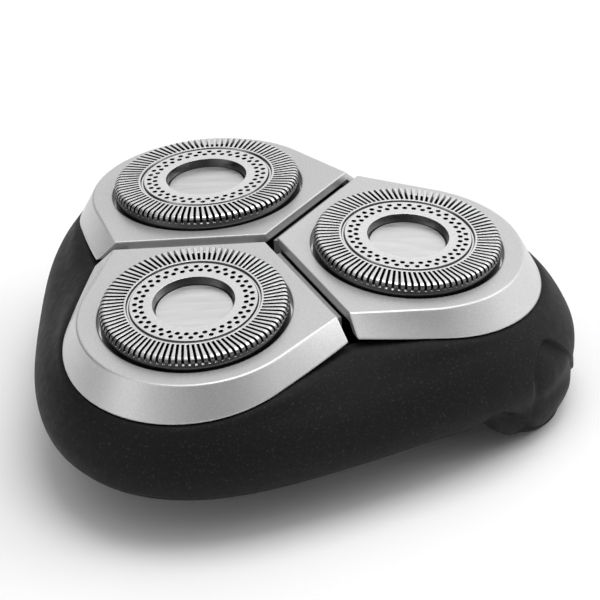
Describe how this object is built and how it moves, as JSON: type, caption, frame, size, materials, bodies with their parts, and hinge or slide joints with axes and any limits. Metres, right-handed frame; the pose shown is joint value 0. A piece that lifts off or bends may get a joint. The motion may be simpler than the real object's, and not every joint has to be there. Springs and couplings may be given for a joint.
{
  "type": "rotary shaver head",
  "caption": "Rotary shaver head: a rounded triangular black housing with a chin, silver tilting plates, slotted round foils, sprung cutters and a gear drive above a short round neck.",
  "frame": {"origin": "centre of the neck's end face, on the drive axis", "axes": "+Z along the drive axis towards the guards, +X towards the lobe with the chin"},
  "size_m": [0.0693, 0.0706, 0.0254],
  "materials": {
    "housing_black": "fine speckled soft matte",
    "gearbox_black": "matte",
    "gearbox_grey": "matte",
    "divider_grey": "satin",
    "screw_steel": "zinc",
    "bush_brass": "turned",
    "gear_white": "moulded acetal",
    "spindle_white": "moulded acetal",
    "spring_steel": "drawn wire",
    "plate_silver": "satin silver",
    "ring_black": "matte",
    "guard_steel": "bright, stamped and slotted",
    "disc_steel": "fine brushed",
    "blade_steel": "ground",
    "hub_grey": "moulded"
  },
  "bodies": {
    "body": {"housing": "housing_black", "gearbox_base": "gearbox_black", "gearbox_cover": "gearbox_grey", "divider": "divider_grey", "base_screws": "screw_steel", "drive_bush": "bush_brass", "tilt_spring_1": "spring_steel", "tilt_spring_2": "spring_steel", "tilt_spring_3": "spring_steel"},
    "drive": {"drive_gear": "gear_white"},
    "gear_1": {"spindle_gear_1": "gear_white", "spindle_spring_1": "spring_steel"},
    "spindle_1": {"spindle_1": "spindle_white"},
    "lobe_1": {"bezel_plate_1": "plate_silver", "retaining_ring_1": "ring_black"},
    "guard_1": {"guard_1": "guard_steel", "guard_disc_1": "disc_steel"},
    "cutter_1": {"cutter_blade_1": "blade_steel", "cutter_hub_1": "hub_grey"},
    "gear_2": {"spindle_gear_2": "gear_white", "spindle_spring_2": "spring_steel"},
    "spindle_2": {"spindle_2": "spindle_white"},
    "lobe_2": {"bezel_plate_2": "plate_silver", "retaining_ring_2": "ring_black"},
    "guard_2": {"guard_2": "guard_steel", "guard_disc_2": "disc_steel"},
    "cutter_2": {"cutter_blade_2": "blade_steel", "cutter_hub_2": "hub_grey"},
    "gear_3": {"spindle_gear_3": "gear_white", "spindle_spring_3": "spring_steel"},
    "spindle_3": {"spindle_3": "spindle_white"},
    "lobe_3": {"bezel_plate_3": "plate_silver", "retaining_ring_3": "ring_black"},
    "guard_3": {"guard_3": "guard_steel", "guard_disc_3": "disc_steel"},
    "cutter_3": {"cutter_blade_3": "blade_steel", "cutter_hub_3": "hub_grey"}
  },
  "joints": [
    {"name": "drive_spin", "type": "hinge", "parent": "body", "child": "drive", "pos_m": [0, 0, 0.0088], "axis": [0, 0, 1], "continuous": true},
    {"name": "gear_spin_1", "type": "hinge", "parent": "body", "child": "gear_1", "pos_m": [0.01717, 0, 0.0088], "axis": [0, 0, 1], "continuous": true},
    {"name": "spindle_slide_1", "type": "slide", "parent": "gear_1", "child": "spindle_1", "axis": [0, 0, 1], "range_m": [-0.0009, 0], "stiffness_N_per_m": 100, "springref_m": 0.002, "deforming": ["spindle_spring_1"]},
    {"name": "lobe_tilt_1", "type": "hinge", "parent": "body", "child": "lobe_1", "pos_m": [0.01717, 0, 0.01856], "axis": [0, -1, 0], "range_deg": [0, 4], "stiffness_Nm_per_rad": 0.2, "springref_deg": -2.86, "deforming": ["tilt_spring_1"]},
    {"name": "guard_press_1", "type": "slide", "parent": "lobe_1", "child": "guard_1", "axis": [0.0958, 0, 0.9954], "range_m": [-0.0009, 0], "stiffness_N_per_m": 600, "springref_m": 0.0006},
    {"name": "cutter_spin_1", "type": "hinge", "parent": "guard_1", "child": "cutter_1", "pos_m": [0.01772, 0, 0.02433], "axis": [0.0958, 0, 0.9954], "continuous": true},
    {"name": "gear_spin_2", "type": "hinge", "parent": "body", "child": "gear_2", "pos_m": [-0.00858, 0.01487, 0.0088], "axis": [0, 0, 1], "continuous": true},
    {"name": "spindle_slide_2", "type": "slide", "parent": "gear_2", "child": "spindle_2", "axis": [0, 0, 1], "range_m": [-0.0009, 0], "stiffness_N_per_m": 100, "springref_m": 0.002, "deforming": ["spindle_spring_2"]},
    {"name": "lobe_tilt_2", "type": "hinge", "parent": "body", "child": "lobe_2", "pos_m": [-0.00858, 0.01487, 0.01856], "axis": [0.866, 0.5, 0], "range_deg": [0, 4], "stiffness_Nm_per_rad": 0.2, "springref_deg": -2.86, "deforming": ["tilt_spring_2"]},
    {"name": "guard_press_2", "type": "slide", "parent": "lobe_2", "child": "guard_2", "axis": [-0.0479, 0.083, 0.9954], "range_m": [-0.0009, 0], "stiffness_N_per_m": 600, "springref_m": 0.0006},
    {"name": "cutter_spin_2", "type": "hinge", "parent": "guard_2", "child": "cutter_2", "pos_m": [-0.00886, 0.01535, 0.02433], "axis": [-0.0479, 0.083, 0.9954], "continuous": true},
    {"name": "gear_spin_3", "type": "hinge", "parent": "body", "child": "gear_3", "pos_m": [-0.00858, -0.01487, 0.0088], "axis": [0, 0, 1], "continuous": true},
    {"name": "spindle_slide_3", "type": "slide", "parent": "gear_3", "child": "spindle_3", "axis": [0, 0, 1], "range_m": [-0.0009, 0], "stiffness_N_per_m": 100, "springref_m": 0.002, "deforming": ["spindle_spring_3"]},
    {"name": "lobe_tilt_3", "type": "hinge", "parent": "body", "child": "lobe_3", "pos_m": [-0.00858, -0.01487, 0.01856], "axis": [-0.866, 0.5, 0], "range_deg": [0, 4], "stiffness_Nm_per_rad": 0.2, "springref_deg": -2.86, "deforming": ["tilt_spring_3"]},
    {"name": "guard_press_3", "type": "slide", "parent": "lobe_3", "child": "guard_3", "axis": [-0.0479, -0.083, 0.9954], "range_m": [-0.0009, 0], "stiffness_N_per_m": 600, "springref_m": 0.0006},
    {"name": "cutter_spin_3", "type": "hinge", "parent": "guard_3", "child": "cutter_3", "pos_m": [-0.00886, -0.01535, 0.02433], "axis": [-0.0479, -0.083, 0.9954], "continuous": true}
  ],
  "couplings": [
    {"joint": "gear_spin_1", "follows": "drive_spin", "ratio": -0.53571},
    {"joint": "cutter_spin_1", "follows": "drive_spin", "ratio": -0.53571},
    {"joint": "spindle_slide_1", "follows": "guard_press_1", "ratio": 1},
    {"joint": "gear_spin_2", "follows": "drive_spin", "ratio": -0.53571},
    {"joint": "cutter_spin_2", "follows": "drive_spin", "ratio": -0.53571},
    {"joint": "spindle_slide_2", "follows": "guard_press_2", "ratio": 1},
    {"joint": "gear_spin_3", "follows": "drive_spin", "ratio": -0.53571},
    {"joint": "cutter_spin_3", "follows": "drive_spin", "ratio": -0.53571},
    {"joint": "spindle_slide_3", "follows": "guard_press_3", "ratio": 1}
  ]
}
